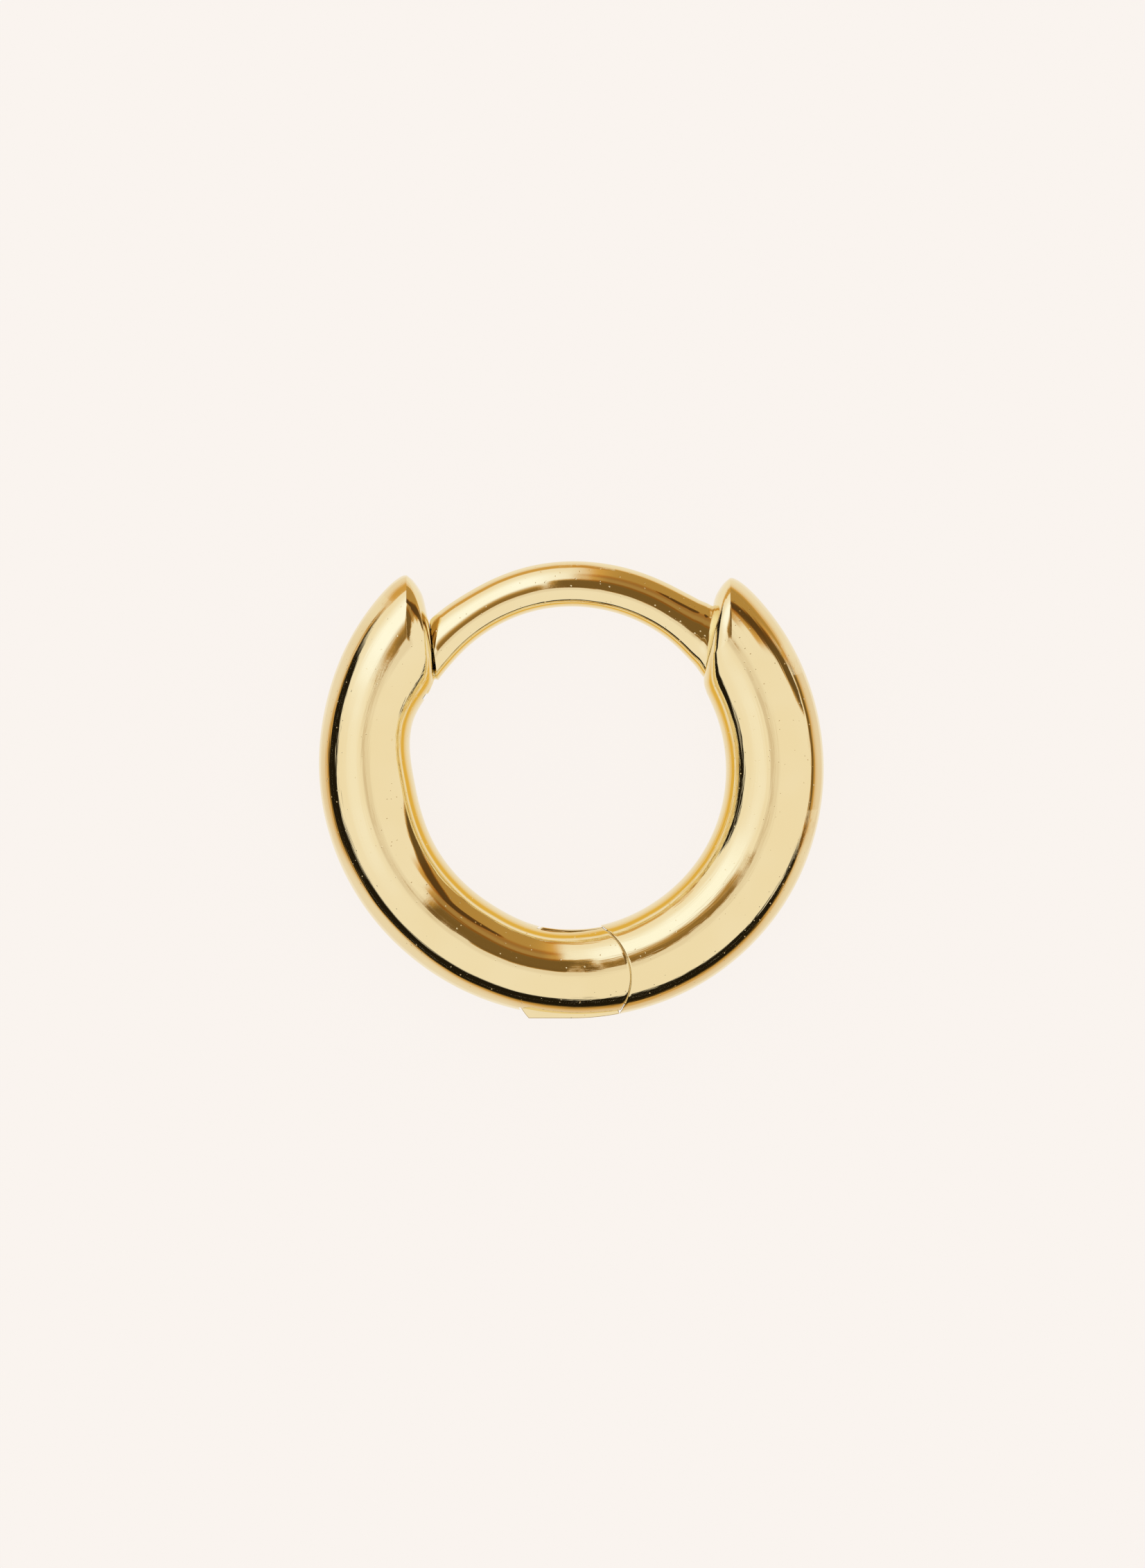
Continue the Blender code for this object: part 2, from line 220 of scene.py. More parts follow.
# %% [markdown]
# The dome is made of rings that lean more and more. Each goes from an outer point over the crease to an inner
# point. The crease is one straight line down the front, so a ring that reaches it is cut there, and one lower
# down meets the middle of the tube instead.

# %% Rings of the dome
DOME = (  # station, outer point's degrees and depth, inner point's degrees and depth, share of the side's fullness
    (0, 22.0, 0.000, 22.0, 1.000, 0.0), (1, 17.0, 0.000, 18.2, 0.978, 0.1), (2, 12.5, 0.000, 14.2, 0.905, 0.35),
    (3, 8.6, 0.000, 9.6, 0.775, 0.75), (4, 5.6, 0.001, 5.6, 0.625, 1.0), (5, 3.6, 0.006, 2.6, 0.460, 0.8),
    (6, 2.0, 0.016, 0.6, 0.310, 0.4), (7, 0.95, 0.030, 0.0, 0.160, 0.1), (8, 0.3, 0.050, 0.3, 0.050, 0.0),
)
HALVINGS = 40


def crease_point(outer_point, inner_point, middle, crease_x):
    """Where a leaning ring meets the crease or, lower down, the middle of the tube."""
    run = inner_point - outer_point
    if run.length < MERGE_DISTANCE:
        return outer_point
    if outer_point.y > 0 and outer_point.x > crease_x > inner_point.x:
        on_crease = outer_point - run * ((outer_point.x - crease_x) / run.x)
        if on_crease.length >= middle:
            return on_crease
    low, high = 0.0, 1.0
    for _ in range(HALVINGS):
        t = (low + high) / 2
        low, high = (t, high) if (outer_point + run * t).length > middle else (low, t)
    return outer_point + run * low


def dome_ring(swell, tip_deg, station, crease_x, side_power):
    """One leaning ring of the dome, as a function of phi.

    A power of 2 gives it a round side, and a higher one a squarer side.
    """
    outer_deg, outer_depth, inner_deg, inner_depth, fullness = read_rows(DOME, station)
    bend = ROUND_POWER / (ROUND_POWER + (side_power - ROUND_POWER) * max(0.0, fullness))
    outer, inner = edge_radii(swell, outer_deg + tip_deg)
    thickness = outer - inner
    tube_edge = edge_radii(swell, inner_deg + tip_deg)[1]
    inner_edge = tube_edge if inner_depth >= 1 else outer - thickness * inner_depth
    outer_point = at_angle(outer - thickness * outer_depth, outer_deg + tip_deg)
    inner_point = at_angle(inner_edge, inner_deg + tip_deg)
    middle = (outer + inner) / 2
    front = crease_point(outer_point, inner_point, middle, crease_x)
    reach = max(outer_point.length - middle, TINY)
    front_share = min(1.0, max(0.0, (front.length - middle) / reach))
    front_height = TUBE_RADIUS * math.sqrt(1 - front_share**2)

    def point(phi):
        if abs(phi) >= math.pi / 2:
            turn = abs(phi) - math.pi / 2
            at = front + (inner_point - front) * math.sin(turn) ** bend
            height = front_height * max(0.0, math.cos(turn)) ** bend
        else:
            turn = math.acos(front_share) * abs(phi) / (math.pi / 2)
            share = (1 - math.cos(turn)) / max(1 - front_share, TINY)
            at = outer_point.lerp(front, min(share, 1.0))
            height = TUBE_RADIUS * math.sqrt(max(0.0, 1 - ((at.length - middle) / reach) ** 2))
        return Vector((at.x, at.y, math.copysign(height, phi)))

    return point


print("the dome is", DOME[0][1] - DOME[-1][1], "degrees long")

# %% [markdown]
# A whole half is a list of rows from the hinge to the tip: the end face, its broken edge, the tube and the
# dome.

# %% One half hoop
END_FACE_SHARES = (0.0, 0.25, 0.5, 0.75, 0.93)
EDGE_TURNS = (0, 30, 60, 90)
TUBE_ROWS = 200
DOME_ROWS = 104
TUBE_SIDES = 128


def half_hoop(swell, tip_deg, turn_radius, past, side, side_power):
    """The bmesh of one half, on the +X side for side 1 and on the -X side for side -1."""
    tip_outer, tip_inner = edge_radii(swell, tip_deg)
    crease_x = at_angle(tip_outer - (tip_outer - tip_inner) * DOME[-1][2], tip_deg + DOME[-1][1]).x
    dome_deg = tip_deg + DOME[0][1]
    first_edge, first_tube = len(END_FACE_SHARES), len(END_FACE_SHARES) + len(EDGE_TURNS)
    first_dome = first_tube + TUBE_ROWS
    rings = {
        row: dome_ring(swell, tip_deg, DOME[-1][0] * (row - first_dome + 1) / DOME_ROWS, crease_x, side_power)
        for row in range(first_dome, first_dome + DOME_ROWS)
    }

    def place(row, phi):
        if row >= first_dome:
            at = rings[row](phi)
            return Vector((side * at.x, at.y, at.z))
        if row >= first_tube:
            start = end_deg(swell, phi, turn_radius, past)
            start -= math.degrees(EDGE_ROUND / section(swell, start, phi)[0])
            deg, share = start + (dome_deg - start) * (row - first_tube + 1) / TUBE_ROWS, 1.0
        else:
            turn = math.radians(EDGE_TURNS[max(row - first_edge, 0)])
            share = 1 - EDGE_ROUND / TUBE_RADIUS * (1 - math.sin(turn))
            share = END_FACE_SHARES[row] if row < first_edge else share
            deg = end_deg(swell, phi, turn_radius, past, share)
            deg -= math.degrees(EDGE_ROUND * (1 - math.cos(turn)) / section(swell, deg, phi, share)[0])
        radius, height = section(swell, deg, phi, share)
        at = at_angle(radius, deg)
        return Vector((side * at.x, at.y, height))

    return shaped_tube(first_dome + DOME_ROWS, TUBE_SIDES, place)


print("rows in a half:", len(END_FACE_SHARES) + len(EDGE_TURNS) + TUBE_ROWS + DOME_ROWS)

# %% [markdown]
# The left half has the catch and the right half has the post. Their domes differ a little, as two castings
# do.

# %% Make both halves
CATCH_TIP_DEG = 40.6
POST_TIP_DEG = 39.9
CATCH_SIDE_POWER = 4.0
POST_SIDE_POWER = 2.8

left = half_hoop(CATCH_HALF_SWELL, CATCH_TIP_DEG, SEAM_RADIUS, 1, -1, CATCH_SIDE_POWER)
right = half_hoop(POST_HALF_SWELL, POST_TIP_DEG, SHOULDER_RADIUS, -1, 1, POST_SIDE_POWER)
catch_half = finished("half_hoop_with_catch", left)
post_half = finished("half_hoop_with_post", right)
report(catch_half)
report(post_half)

# %% [markdown]
# ## The ear post
#
# The post is the thin curved bar that goes through the ear. It is soldered into one half, with a small flare
# of solder at its root, and on its free end a narrow tongue drops into a notch in the other half. It is
# another shaped tube, whose rows lean so that both ends meet the domes squarely.

# %% Ear post
POST_INNER_RADIUS = INNER_RADIUS - 0.04 * MM
POST_THICKNESS = 1.08 * MM
POST_WIDTH = 1.0 * MM
TONGUE_WIDTH = 0.56 * MM
CROWN_SHIFT = 0.09
POST_ROWS = 241
POST_SIDES = 64
post_outer_radius = POST_INNER_RADIUS + POST_THICKNESS
POST = (  # station, outer degrees and depth, inner degrees and depth, bulk between tongue and post, share of width
    (0, 50.0, 0.05, 62.0, 0.95, 0.80, 1.0), (1, 44.0, -0.20, 56.0, 1.00, 1.10, 1.0),
    (2, 40.5, -0.17, 51.0, 1.00, 1.05, 1.0), (3, 37.0, -0.10, 46.0, 1.01, 1.00, 1.0),
    (4, 29.0, -0.04, 35.0, 1.00, 1.00, 1.0), (5, 10.0, -0.01, 12.0, 1.00, 1.00, 1.0),
    (6, -10.0, 0.01, -12.0, 1.00, 1.00, 1.0), (7, -29.0, 0.05, -35.0, 1.02, 1.00, 1.0),
    (8, -39.5, 0.03, -49.0, 1.03, 1.00, 1.0), (9, -43.4, 0.02, -56.9, 1.01, 1.00, 1.0),
    (10, -44.9, 0.06, -57.4, 1.00, 0.88, 1.0), (11, -45.8, 0.16, -57.7, 0.96, 0.25, 1.0),
    (12, -47.2, 0.20, -58.2, 0.935, 0.00, 1.0), (13, -54.0, 0.20, -60.4, 0.955, 0.00, 1.0),
    (14, -60.0, 0.23, -63.6, 0.955, 0.00, 1.0), (15, -62.0, 0.36, -64.2, 0.80, 0.00, 0.75),
)
post_rows = [read_rows(POST, POST[-1][0] * row / (POST_ROWS - 1)) for row in range(POST_ROWS)]


def post_place(row, phi):
    outer_deg, outer_depth, inner_deg, inner_depth, bulk, full = post_rows[row]
    outer_point = at_angle(post_outer_radius - POST_THICKNESS * outer_depth, outer_deg)
    inner_point = at_angle(post_outer_radius - POST_THICKNESS * inner_depth, inner_deg)
    half_width = full * (TONGUE_WIDTH + (POST_WIDTH - TONGUE_WIDTH) * bulk) / 2
    at = outer_point.lerp(inner_point, (1 - math.cos(phi)) / 2 + CROWN_SHIFT * math.sin(phi) ** 2)
    return Vector((at.x, at.y, half_width * math.sin(phi)))


ear_post = finished("ear_post", shaped_tube(POST_ROWS, POST_SIDES, post_place))
report(ear_post)

# %% [markdown]
# ## The hinge
#
# A flat tongue on the half with the post turns between two cheeks of the other half, on a pin that the cheeks
# hide. Its round heel shows under the hoop as a small step. The tongue is an outline of arcs, extruded and
# then bevelled, as it would be sawn from sheet and eased with a file. Inside the hoop its edge stays just
# under the round of the tube.

# %% Hinge tongue
TONGUE_PLATE = 0.73 * MM
HEEL_RADIUS = 1.395 * MM
TONGUE_INNER_EDGE = INNER_RADIUS + 0.1 * MM
ROOT_REACH = 0.7 * MM
ROOT_SKIN = 0.2 * MM
PLATE_BEVEL = 0.03 * MM


def arc(centre, radius, first_deg, last_deg, steps):
    turn = last_deg - first_deg
    return [centre + at_angle(radius, first_deg + turn * i / steps) for i in range(steps + 1)]


root_deg = 180 - math.degrees(math.asin((SHOULDER_RADIUS + ROOT_REACH) / (OUTER_RADIUS - TUBE_RADIUS)))
inner_shoulder = 180 - crossing_deg(TONGUE_INNER_EDGE, SHOULDER_RADIUS)
outer_shoulder = 180 - crossing_deg(OUTER_RADIUS, SHOULDER_RADIUS)
heel_top_deg = 180 + crossing_deg(TONGUE_INNER_EDGE, HEEL_RADIUS)
heel_top = at_angle(TONGUE_INNER_EDGE, heel_top_deg) - pin_place
foot_drop = OUTER_RADIUS - PIN_DEPTH
heel_low = Vector((-math.sqrt(HEEL_RADIUS**2 - foot_drop**2), -foot_drop, 0))
heel_turn = [math.degrees(math.atan2(corner.x, corner.y)) for corner in (heel_top, heel_low)]
outline = [
    *arc(Vector(), OUTER_RADIUS, 180, outer_shoulder, 16),
    *arc(Vector(), OUTER_RADIUS - ROOT_SKIN, outer_shoulder, root_deg, 8),
    *arc(Vector(), INNER_RADIUS + ROOT_SKIN, root_deg, inner_shoulder, 8),
    *arc(Vector(), TONGUE_INNER_EDGE, inner_shoulder, heel_top_deg, 40),
    *arc(pin_place, HEEL_RADIUS, heel_turn[0], heel_turn[1], 64)[1:],
]
bm = bmesh.new()
face = bm.faces.new([bm.verts.new(point) for point in outline])
raised = bmesh.ops.extrude_face_region(bm, geom=[face])["geom"]
top = [part for part in raised if isinstance(part, bmesh.types.BMVert)]
bmesh.ops.translate(bm, verts=top, vec=(0, 0, TONGUE_PLATE))
bmesh.ops.translate(bm, verts=bm.verts, vec=(0, 0, -TONGUE_PLATE / 2))
bmesh.ops.recalc_face_normals(bm, faces=bm.faces)
rims = [
    edge for edge in bm.edges
    if edge.calc_face_angle(0) > math.radians(80) and abs(edge.verts[0].co.z - edge.verts[1].co.z) < TINY
]
bmesh.ops.bevel(
    bm, geom=rims, offset=PLATE_BEVEL, offset_type="OFFSET", segments=4, profile=0.5, affect="EDGES",
    clamp_overlap=True, material=-1,
)
bmesh.ops.recalc_face_normals(bm, faces=bm.faces)
hinge_tongue = finished("hinge_tongue", bm)
report(hinge_tongue)

# %% [markdown]
# ## The slot, the pin's hole and the notch
#
# The half with the catch is cut three times: a round slot between the cheeks for the tongue, a blind hole for
# the pin, and a notch under its dome for the tongue of the post. Each cutter is a plain turned or swept
# block, and a Boolean takes it away and is applied at once.

# %% Cut the half with the catch
SLOT_RADIUS = 1.435 * MM
SLOT_WIDTH = 0.78 * MM
HOLE_RADIUS = 0.34 * MM
HOLE_LENGTH = 1.71 * MM
NOTCH_WIDTH = 0.66 * MM
NOTCH_RADII = (INNER_RADIUS - TUBE_RADIUS, post_outer_radius - 0.2 * POST_THICKNESS + 0.05 * MM)
NOTCH_DEG = (-66.0, -20.0)
CUTTER_SIDES = 160


def disc(radius, width):
    bm = bmesh.new()
    bmesh.ops.create_cone(
        bm, cap_ends=True, segments=CUTTER_SIDES, radius1=radius, radius2=radius, depth=width,
        matrix=Matrix.Translation(pin_place),
    )
    return bm


def swept_block(radii, width, first_deg, last_deg):
    """A rectangle spun round the hoop's centre."""
    bm = bmesh.new()
    corners = [(radii[0], -width / 2), (radii[1], -width / 2), (radii[1], width / 2), (radii[0], width / 2)]
    bm.faces.new([bm.verts.new(at_angle(radius, first_deg) + Vector((0, 0, z))) for radius, z in corners])
    turn = math.radians(last_deg - first_deg)
    bmesh.ops.spin(bm, geom=bm.faces[:], cent=(0, 0, 0), axis=(0, 0, -1), angle=turn, steps=CUTTER_SIDES)
    bmesh.ops.recalc_face_normals(bm, faces=bm.faces)
    return bm


def cut_away(piece, cutters):
    tools = [finished(name, bm) for name, bm in cutters]
    for tool in tools:
        modifier = piece.modifiers.new(tool.name, "BOOLEAN")
        modifier.operation, modifier.solver, modifier.object = "DIFFERENCE", "EXACT", tool
    whole = piece.data
    piece.data = bpy.data.meshes.new_from_object(piece.evaluated_get(bpy.context.evaluated_depsgraph_get()))
    piece.data.name = piece.name
    piece.modifiers.clear()
    bpy.data.meshes.remove(whole)
    for tool in tools:
        bpy.data.objects.remove(tool)
    piece.data.shade_smooth()
    piece.data.set_sharp_from_angle(angle=math.radians(SHARP_DEG))


cut_away(catch_half, (
    ("hinge_slot", disc(SLOT_RADIUS, SLOT_WIDTH)),
    ("pin_hole", disc(HOLE_RADIUS, HOLE_LENGTH)),
    ("catch_notch", swept_block(NOTCH_RADII, NOTCH_WIDTH, *NOTCH_DEG)),
))
report(catch_half)

# %% [markdown]
# ## Polished gold plate
#
# The metal is a mirror with a pale yellow colour. What makes it look real is how far it is from a perfect
# mirror: the surface is very slightly wavy, polishing has left faint streaks along the tube, and there are
# pinprick pits. The streaks need to follow the ring, so their pattern is looked up by distance from the
# hoop's centre and by height, which change quickly across the tube, and only slowly by where on the ring the
# point is.

# %% Helpers for materials


def new_material(name):
    made = bpy.data.materials.new(name)
    made.use_nodes = True
    return made, made.node_tree, made.node_tree.nodes["Principled BSDF"]


def add(tree, kind, inputs=(), **settings):
    """A new node with its settings made and its inputs linked or set."""
    node = tree.nodes.new(kind)
    for name, value in settings.items():
        setattr(node, name, value)
    for name, value in dict(inputs).items():
        if isinstance(value, bpy.types.NodeSocket):
            tree.links.new(value, node.inputs[name])
        else:
            node.inputs[name].default_value = value
    return node


def maths(tree, operation, *values):
    return add(tree, "ShaderNodeMath", enumerate(values), operation=operation).outputs[0]


def ramp(tree, value, low, high, to_low=0.0, to_high=1.0):
    """A value run smoothly from one range to another."""
    inputs = {"Value": value, "From Min": low, "From Max": high, "To Min": to_low, "To Max": to_high}
    return add(tree, "ShaderNodeMapRange", inputs, interpolation_type="SMOOTHSTEP").outputs[0]


def noise(tree, place, scale, detail):
    return add(tree, "ShaderNodeTexNoise", {"Vector": place, "Scale": scale, "Detail": detail}).outputs[0]


def mixed_colour(tree, share, first, second):
    """Two colours mixed by a share."""
    inputs = {"Factor": share, "A": (*first, 1), "B": (*second, 1)}
    return add(tree, "ShaderNodeMix", inputs, data_type="RGBA").outputs["Result"]


print("helpers for materials are ready")

# %% [markdown]
# The heights of the bump are in thousandths of a millimetre. The long waves are the highest and bend the
# reflections, the streaks and the grain only roughen them, and the pits are cut where a cell of the pattern
# is chosen.

# %% Gold plate
GOLD = (0.900, 0.785, 0.480)
DEEP_GOLD = (0.888, 0.762, 0.445)
STREAKS_PER_MM = 14.0
ALONG_THE_RING = (0.8, 0.6)
ROUGHNESS = (0.03, 0.085)
PIT_ROUGHNESS = 0.1
PIT_CELLS_PER_MM = 8.5
UNPITTED_SHARE = 0.62
PIT_RADII = (0.04, 0.18)
WAVE_HEIGHT = 12.0
STREAK_HEIGHTS = (0.6, 4.0)
GRAIN_HEIGHT = 0.15
PIT_DEPTH = 3.2


def gold_plate(name):
    made, tree, shader = new_material(name)
    place = add(tree, "ShaderNodeTexCoord").outputs["Object"]
    millimetres = add(tree, "ShaderNodeVectorMath", {0: place, "Scale": 1 / MM}, operation="SCALE").outputs[0]
    from_centre = {0: millimetres, 1: -HOOP_CENTRE / MM}
    centred = add(tree, "ShaderNodeVectorMath", from_centre, operation="ADD").outputs[0]
    x, y, z = add(tree, "ShaderNodeSeparateXYZ", {0: centred}).outputs
    radius = maths(tree, "SQRT", maths(tree, "ADD", maths(tree, "MULTIPLY", x, x), maths(tree, "MULTIPLY", y, y)))
    along = maths(
        tree, "ADD",
        maths(tree, "MULTIPLY", x, ALONG_THE_RING[0]), maths(tree, "MULTIPLY", y, ALONG_THE_RING[1]),
    )
    run = add(tree, "ShaderNodeCombineXYZ", {
        0: maths(tree, "MULTIPLY", radius, STREAKS_PER_MM), 1: maths(tree, "MULTIPLY", z, STREAKS_PER_MM), 2: along,
    }).outputs[0]
    streaks = noise(tree, run, 1.0, 3.0)
    waves = noise(tree, centred, 0.9, 1.0)
    grain = noise(tree, centred, 14.0, 2.0)
    clouds = noise(tree, centred, 0.5, 2.0)
    rubbed = ramp(tree, noise(tree, centred, 0.42, 1.0), 0.44, 0.6, *STREAK_HEIGHTS)
    cells = add(tree, "ShaderNodeTexVoronoi", {"Vector": centred, "Scale": PIT_CELLS_PER_MM}, feature="F1")
    draw = add(tree, "ShaderNodeSeparateXYZ", {0: cells.outputs["Color"]}).outputs[0]
    chosen = maths(tree, "GREATER_THAN", draw, UNPITTED_SHARE)
    pits = maths(tree, "MULTIPLY", ramp(tree, cells.outputs["Distance"], *PIT_RADII, 1.0, 0.0), chosen)

    colour = mixed_colour(tree, ramp(tree, clouds, 0.35, 0.65), GOLD, DEEP_GOLD)
    tree.links.new(colour, shader.inputs["Base Color"])
    rough = ramp(tree, streaks, 0.4, 0.75, *ROUGHNESS)
    rough = maths(tree, "ADD", rough, maths(tree, "MULTIPLY", pits, PIT_ROUGHNESS))
    tree.links.new(rough, shader.inputs["Roughness"])
    shader.inputs["Metallic"].default_value = 1.0

    height = maths(tree, "MULTIPLY", waves, WAVE_HEIGHT)
    height = maths(tree, "ADD", height, maths(tree, "MULTIPLY", streaks, rubbed))
    height = maths(tree, "ADD", height, maths(tree, "MULTIPLY", grain, GRAIN_HEIGHT))
    height = maths(tree, "SUBTRACT", height, maths(tree, "MULTIPLY", pits, PIT_DEPTH))
    bump = add(tree, "ShaderNodeBump", {"Height": height, "Strength": 1.0, "Distance": 0.001 * MM})
    tree.links.new(bump.outputs["Normal"], shader.inputs["Normal"])
    return made


plated_gold = gold_plate("gold_plate")
for piece in (catch_half, post_half, ear_post, hinge_tongue):
    piece.data.materials.clear()
    piece.data.materials.append(plated_gold)
print("gold plate on four pieces")

# %% [markdown]
# ## The pin
#
# The pin is drawn brass wire, left unplated and out of sight. Wire pulled through a die has fine lines along
# its length, so the pattern changes quickly round the pin and slowly along it.

# %% Pin
BRASS = (0.78, 0.64, 0.36)
DARK_BRASS = (0.60, 0.46, 0.22)
LINES_SCALE = (40000.0, 40000.0, 900.0)
LINE_DEPTH = 0.002 * MM


def drawn_wire(name):
    made, tree, shader = new_material(name)
    place = add(tree, "ShaderNodeTexCoord").outputs["Object"]
    stretched = add(tree, "ShaderNodeMapping", {"Vector": place, "Scale": LINES_SCALE}).outputs[0]
    lines = noise(tree, stretched, 1.0, 2.0)
    tree.links.new(mixed_colour(tree, lines, BRASS, DARK_BRASS), shader.inputs["Base Color"])
    tree.links.new(ramp(tree, lines, 0.3, 0.7, 0.22, 0.4), shader.inputs["Roughness"])
    bump = add(tree, "ShaderNodeBump", {"Height": lines, "Strength": 1.0, "Distance": LINE_DEPTH})
    tree.links.new(bump.outputs["Normal"], shader.inputs["Normal"])
    shader.inputs["Metallic"].default_value = 1.0
    return made


hinge_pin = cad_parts["hinge_pin"]
hinge_pin.data.materials.clear()
hinge_pin.data.materials.append(drawn_wire("drawn_brass"))

# %% [markdown]
# ## What moves with what
#
# The post, its half and the hinge tongue are soldered together and turn about the pin, which stays in the
# cheeks of the other half.

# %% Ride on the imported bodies
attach(catch_half, "catch_side")
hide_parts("catch_half")
for piece in (post_half, ear_post, hinge_tongue):
    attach(piece, "post_side")
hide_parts("post_half")
print("the post's side moves", post_half.name, ear_post.name, hinge_tongue.name)

# %% [markdown]
# ## The table and the tent
#
# A mirror shows the studio more than itself, so the light is built as what the metal sees. The table and the
# tent round it are cream. The table is a lit one, as jewellers' photographers use to lose the shadow under a
# piece: most of its brightness is its own glow, and only a little is light that falls on it.

# %% Table and tent
CREAM = (0.947, 0.896, 0.855)
TABLE_GLOW = 0.948
TABLE_PAPER = (0.06, 0.06, 0.06)
TENT_GLOW = 1.02
TABLE_RADIUS = 1.5

world = bpy.data.worlds.new("tent")
bpy.context.scene.world = world
world.use_nodes = True
background = world.node_tree.nodes["Background"]
background.inputs["Color"].default_value = (*CREAM, 1)
background.inputs["Strength"].default_value = TENT_GLOW


def stage_object(name, bm, material):
    mesh = bpy.data.meshes.new(name)
    bm.to_mesh(mesh)
    bm.free()
    mesh.materials.append(material)
    made = bpy.data.objects.new(name, mesh)
    bpy.context.scene.collection.objects.link(made)
    return made


lit_paper, tree, shader = new_material("lit_paper")
shader.inputs["Base Color"].default_value = (*TABLE_PAPER, 1)
shader.inputs["Roughness"].default_value = 1.0
shader.inputs["Specular IOR Level"].default_value = 0.0
shader.inputs["Emission Color"].default_value = (*CREAM, 1)
shader.inputs["Emission Strength"].default_value = TABLE_GLOW
bm = bmesh.new()
bmesh.ops.create_circle(bm, cap_ends=True, segments=64, radius=TABLE_RADIUS)
stage_object("table", bm, lit_paper)
print("table", 2 * TABLE_RADIUS, "m across, lit from below")

# %% [markdown]
# ## Flags and screens
#
# Flags of dark cloth draw the dark lines along the tube. A low black wall stands round the foot and both
# sides of the picture, with black cloth on the table before it. Brown cloths with a dark hem hang at the
# upper right, and the camera's stand shows dark overhead. White screens at the left give the highlights. Each
# is a grid laid on a sphere round the earring, or on the table, and fades out towards its edges, as gauze
# does. They show only in reflections, so no view from another side has them in the picture.

# %% Helpers for flags
TENT_RADIUS = 350 * MM
CLEAR = (1, 1, 1)


def tent_point(x_deg, y_deg, radius=TENT_RADIUS):
    """A point of the tent. Its distance in degrees from the camera's axis is the length of (x, y)."""
    off_axis = math.radians(math.hypot(x_deg, y_deg))
    azimuth = math.atan2(x_deg, y_deg)
    side = radius * math.sin(off_axis)
    return HOOP_CENTRE + Vector((side * math.sin(azimuth), side * math.cos(azimuth), radius * math.cos(off_axis)))


def fade(value, width):
    """From 0 at an edge to 1 at a width inside it."""
    t = min(max(value / width, 0.0), 1.0)
    return t * t * (3 - 2 * t)


def screen(name, cells, place, light, tint, tint_reach):
    """A cloth whose grid goes where place(u, v) says, which also gives how thick its weave is there.

    Light that comes through the weave is tinted, fully from a weave of tint_reach.
    """
    bm = bmesh.new()
    bmesh.ops.create_grid(bm, x_segments=cells[0], y_segments=cells[1], size=0.5)
    layer = bm.verts.layers.float.new("weave")
    for vert in bm.verts:
        vert.co, vert[layer] = place(vert.co.x + 0.5, vert.co.y + 0.5)
    cloth, tree, shader = new_material(name)
    tree.nodes.remove(shader)
    weave = add(tree, "ShaderNodeAttribute", attribute_name="weave").outputs["Fac"]
    glow = add(tree, "ShaderNodeEmission", {"Color": (*light, 1), "Strength": 1.0}).outputs[0]
    tinted = ramp(tree, weave, 0.0, tint_reach)
    gauze = add(tree, "ShaderNodeBsdfTransparent", {"Color": mixed_colour(tree, tinted, CLEAR, tint)}).outputs[0]
    mixed = add(tree, "ShaderNodeMixShader", {0: weave, 1: gauze, 2: glow}).outputs[0]
    tree.links.new(mixed, tree.nodes["Material Output"].inputs["Surface"])
    made = stage_object(name, bm, cloth)
    made.visible_camera = made.visible_diffuse = made.visible_shadow = made.visible_transmission = False
    return made


print("tent", round(TENT_RADIUS / MM), "mm from the earring")

# %% [markdown]
# A cloth hangs on the tent, lies on the table or follows a path across the tent. Directions on the tent are
# given as degrees off the camera's axis, and as an azimuth from the top of the picture towards its right.

# %% Ways to place a cloth
CLOTH_LIFT = 0.02 * MM
TABLE_REACH = (7.0, 300.0)
PATH_STEP = 0.05
PATH_SIDE_HEM = 0.22
PATH_START_HEM = 0.08


def on_tent(azimuths, off_axis, hems, cover, radius):
    """A part of the tent: hems are how wide its left, right, inner and outer edges fade, in degrees."""
    def place(u, v):
        azimuth = azimuths[0] + (azimuths[1] - azimuths[0]) * u
        off = off_axis[0] + (off_axis[1] - off_axis[0]) * v
        inside = (azimuth - azimuths[0], azimuths[1] - azimuth, off - off_axis[0], off_axis[1] - off)
        weave = cover
        for distance, hem in zip(inside, hems):
            weave *= fade(distance, hem) if hem else 1.0
        turn = math.radians(azimuth)
        return tent_point(off * math.sin(turn), off * math.cos(turn), radius), weave
    return place


def on_table(azimuths, covers, hem, distances, reach=TABLE_REACH):
    """A ring lying on the table: covers are shares of a distance and how thick the weave is there.

    The distances are in millimetres from the hoop's centre, for some azimuths, and so is the reach.
    """
    def place(u, v):
        azimuth = azimuths[0] + (azimuths[1] - azimuths[0]) * u
        radius = reach[0] * (reach[1] / reach[0]) ** v
        share = radius / read_rows(distances, azimuth)[0]
        weave = min(max(read_rows(covers, share)[0], 0.0), 1.0)
        if hem:
            weave *= fade(azimuth - azimuths[0], hem) * fade(azimuths[1] - azimuth, hem)
        at = HOOP_CENTRE + at_angle(radius * MM, azimuth)
        return Vector((at.x, at.y, CLOTH_LIFT)), weave
    return place


def along_path(path, cover, radius):
    """A strip along a path of points of the tent: x, y and half width, all in degrees."""
    rows = [(i, *point) for i, point in enumerate(path)]

    def place(u, v):
        at = u * (len(rows) - 1)
        x, y, half_width = read_rows(rows, at)
        ahead, behind = (read_rows(rows, at + step) for step in (PATH_STEP, -PATH_STEP))
        across = Vector((ahead[1] - behind[1], behind[0] - ahead[0])).normalized() * half_width * (2 * v - 1)
        weave = cover * fade(0.5 - abs(v - 0.5), PATH_SIDE_HEM) * fade(u, PATH_START_HEM)
        return tent_point(x + across.x, y + across.y, radius), weave
    return place


print("cloths can hang on the tent, lie on the table or follow a path")

# %% [markdown]
# The cloths' colours are what the metal shows of them. Light that comes through a thin hem turns amber.

